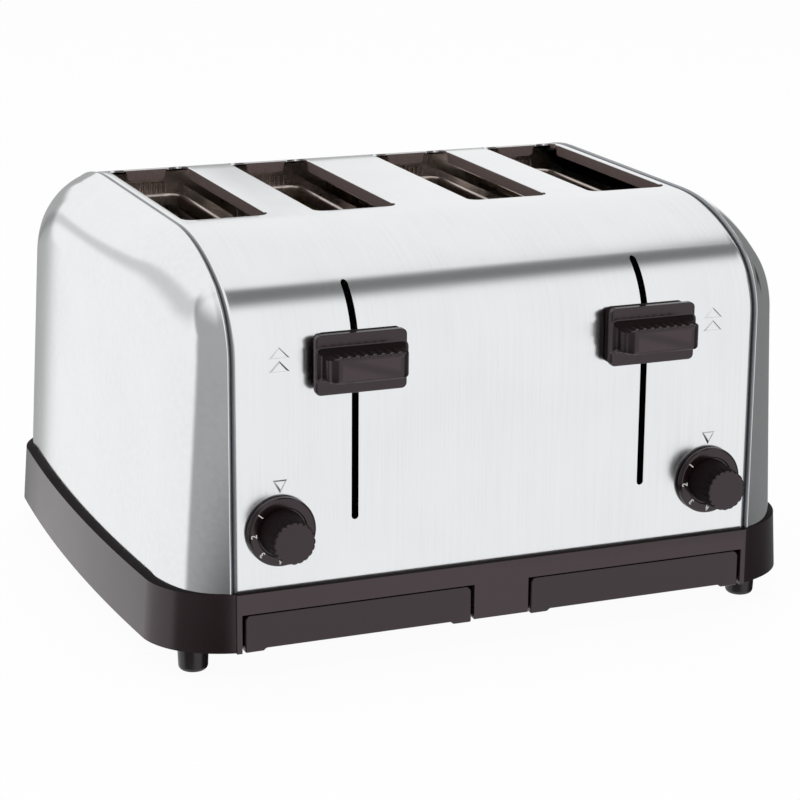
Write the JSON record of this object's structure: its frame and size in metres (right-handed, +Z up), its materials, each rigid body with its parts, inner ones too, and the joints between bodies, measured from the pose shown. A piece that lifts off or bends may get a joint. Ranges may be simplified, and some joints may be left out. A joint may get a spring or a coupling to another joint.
{
  "type": "four-slice toaster",
  "caption": "Wide pop-up toaster with long bread slots in a wrapped steel shell, lever carriages, browning dials and pull-out crumb trays on a dark moulded base.",
  "frame": {"origin": "middle of the outline, levers and knobs included, on the surface that the feet stand on", "axes": "+X to the toaster's right seen from the front, +Y to its back, +Z up"},
  "size_m": [0.3454, 0.3116, 0.2015],
  "materials": {
    "satin_steel": "fine vertical brushing, satin sheen",
    "polished_steel": "smooth satin pressing",
    "dark_plastic": "moulded, fine satin grain",
    "rubber": "matte moulded rubber",
    "zinc_steel": "zinc-plated sheet",
    "aluminised_steel": "aluminised sheet, heat-dulled",
    "wire_steel": "drawn wire",
    "ground_steel": "ground rod",
    "mica": "pressed mica board",
    "resistance_ribbon": "oxidised ribbon",
    "copper_winding": "enamelled winding",
    "magnet_iron": "soft iron",
    "circuit_board": "solder-masked board",
    "black_phenolic": "moulded phenolic",
    "white_nylon": "moulded nylon"
  },
  "bodies": {
    "housing": {"wrap_front": "satin_steel", "wrap_top": "satin_steel", "wrap_bend": "satin_steel", "wrap_back": "satin_steel", "left_end_panel": "polished_steel", "right_end_panel": "polished_steel", "base_skirt": "dark_plastic", "bottom_plate": "zinc_steel", "chassis_floor": "zinc_steel", "feet": "rubber", "foot_screws": "zinc_steel", "oven_front_plate": "aluminised_steel", "oven_rear_plate": "aluminised_steel", "left_slot_chute": "aluminised_steel", "right_slot_chute": "aluminised_steel", "left_end_shield": "aluminised_steel", "right_end_shield": "aluminised_steel", "centre_shield": "aluminised_steel", "left_outer_heater": "mica", "left_middle_heater": "mica", "left_inner_heater": "mica", "right_inner_heater": "mica", "right_middle_heater": "mica", "right_outer_heater": "mica", "heater_ribbons": "resistance_ribbon", "left_outer_guards": "wire_steel", "left_inner_guards": "wire_steel", "right_inner_guards": "wire_steel", "right_outer_guards": "wire_steel", "left_guide_rod": "ground_steel", "right_guide_rod": "ground_steel", "left_return_spring": "ground_steel", "right_return_spring": "ground_steel", "magnet_cores": "magnet_iron", "magnet_coils": "copper_winding", "control_boards": "circuit_board", "left_potentiometer": "black_phenolic", "right_potentiometer": "black_phenolic", "left_lever_switch": "black_phenolic", "right_lever_switch": "black_phenolic", "terminal_block": "white_nylon", "cord_gland": "rubber"},
    "left_lever": {"left_lever_handle": "dark_plastic", "left_carriage": "zinc_steel", "left_latch_keeper": "magnet_iron", "left_outer_rack": "wire_steel", "left_inner_rack": "wire_steel"},
    "left_knob": {"left_knob": "dark_plastic", "left_knob_shaft": "ground_steel"},
    "left_tray": {"left_tray_pan": "zinc_steel", "left_tray_front": "dark_plastic"},
    "right_lever": {"right_lever_handle": "dark_plastic", "right_carriage": "zinc_steel", "right_latch_keeper": "magnet_iron", "right_outer_rack": "wire_steel", "right_inner_rack": "wire_steel"},
    "right_knob": {"right_knob": "dark_plastic", "right_knob_shaft": "ground_steel"},
    "right_tray": {"right_tray_pan": "zinc_steel", "right_tray_front": "dark_plastic"}
  },
  "joints": [
    {"name": "left_lever_slide", "type": "slide", "parent": "housing", "child": "left_lever", "axis": [0, 0, 1], "range_m": [-0.072, 0.022], "stiffness_N_per_m": 60, "springref_m": 0.0348, "deforming": ["left_return_spring"]},
    {"name": "left_knob_turn", "type": "hinge", "parent": "housing", "child": "left_knob", "pos_m": [-0.11, -0.1347, 0.0715], "axis": [0, 1, 0], "range_deg": [0, 260]},
    {"name": "left_tray_slide", "type": "slide", "parent": "housing", "child": "left_tray", "axis": [0, -1, 0], "range_m": [0, 0.235]},
    {"name": "right_lever_slide", "type": "slide", "parent": "housing", "child": "right_lever", "axis": [0, 0, 1], "range_m": [-0.072, 0.022], "stiffness_N_per_m": 60, "springref_m": 0.0348, "deforming": ["right_return_spring"]},
    {"name": "right_knob_turn", "type": "hinge", "parent": "housing", "child": "right_knob", "pos_m": [0.11, -0.1347, 0.0715], "axis": [0, 1, 0], "range_deg": [0, 260]},
    {"name": "right_tray_slide", "type": "slide", "parent": "housing", "child": "right_tray", "axis": [0, -1, 0], "range_m": [0, 0.235]}
  ]
}
